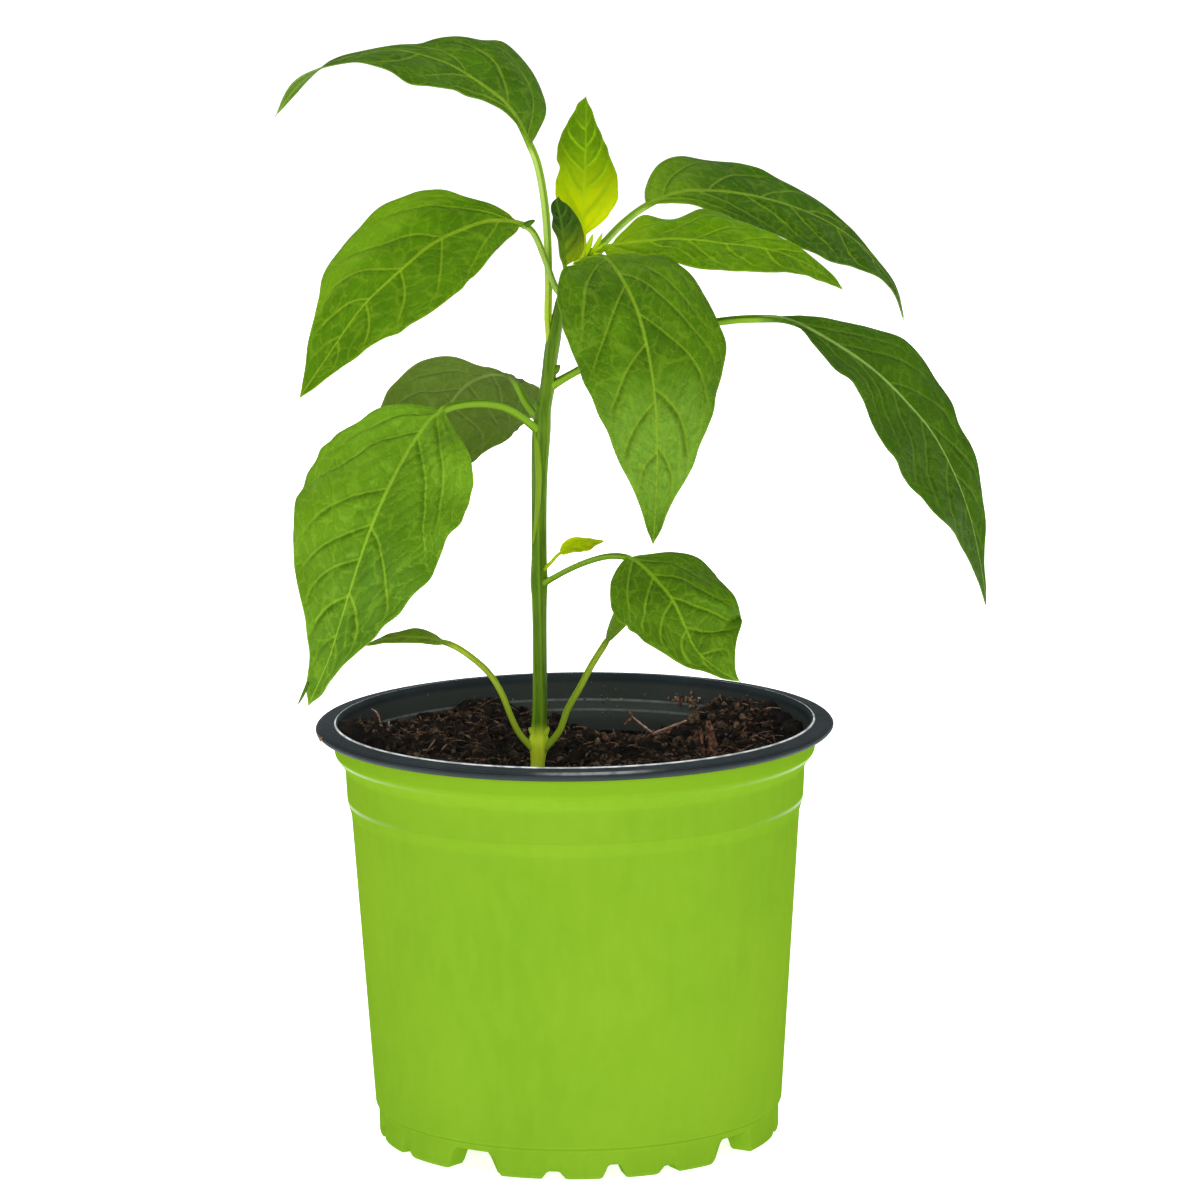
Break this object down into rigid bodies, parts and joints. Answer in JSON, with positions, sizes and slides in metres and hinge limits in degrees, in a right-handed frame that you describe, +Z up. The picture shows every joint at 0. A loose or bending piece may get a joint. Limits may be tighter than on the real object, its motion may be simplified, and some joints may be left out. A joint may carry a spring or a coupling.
{
  "type": "potted chilli pepper plant",
  "caption": "Young chilli pepper plant with arching pointed leaves on a straight green stem, in a round tapered plastic nursery pot filled with dark potting soil.",
  "frame": {"origin": "on the pot's axis, at the surface that the pot stands on, in the middle of the pad under the pot's floor", "axes": "+Z up along the pot's axis, -Y towards the viewer of the picture, +X to that viewer's right"},
  "size_m": [0.1601, 0.12, 0.2552],
  "materials": {
    "pot_plastic": "satin",
    "soil": "matte",
    "stem": "satin",
    "leaf": "satin",
    "young_leaf": "satin"
  },
  "bodies": {
    "root": {"pot": "pot_plastic", "soil": "soil", "stem": "stem", "leaf_centre": "leaf", "leaf_lower_left": "leaf", "leaf_back_left": "leaf", "leaf_right": "leaf", "leaf_middle_left": "leaf", "leaf_top_left": "leaf", "leaf_top_right": "leaf", "leaf_second_right": "leaf", "leaf_upright_young": "young_leaf", "leaf_curled_young": "leaf", "leaf_lower_right": "leaf", "leaflet_lower": "young_leaf", "seed_leaf_left": "leaf", "seed_leaf_right": "leaf"}
  },
  "joints": []
}
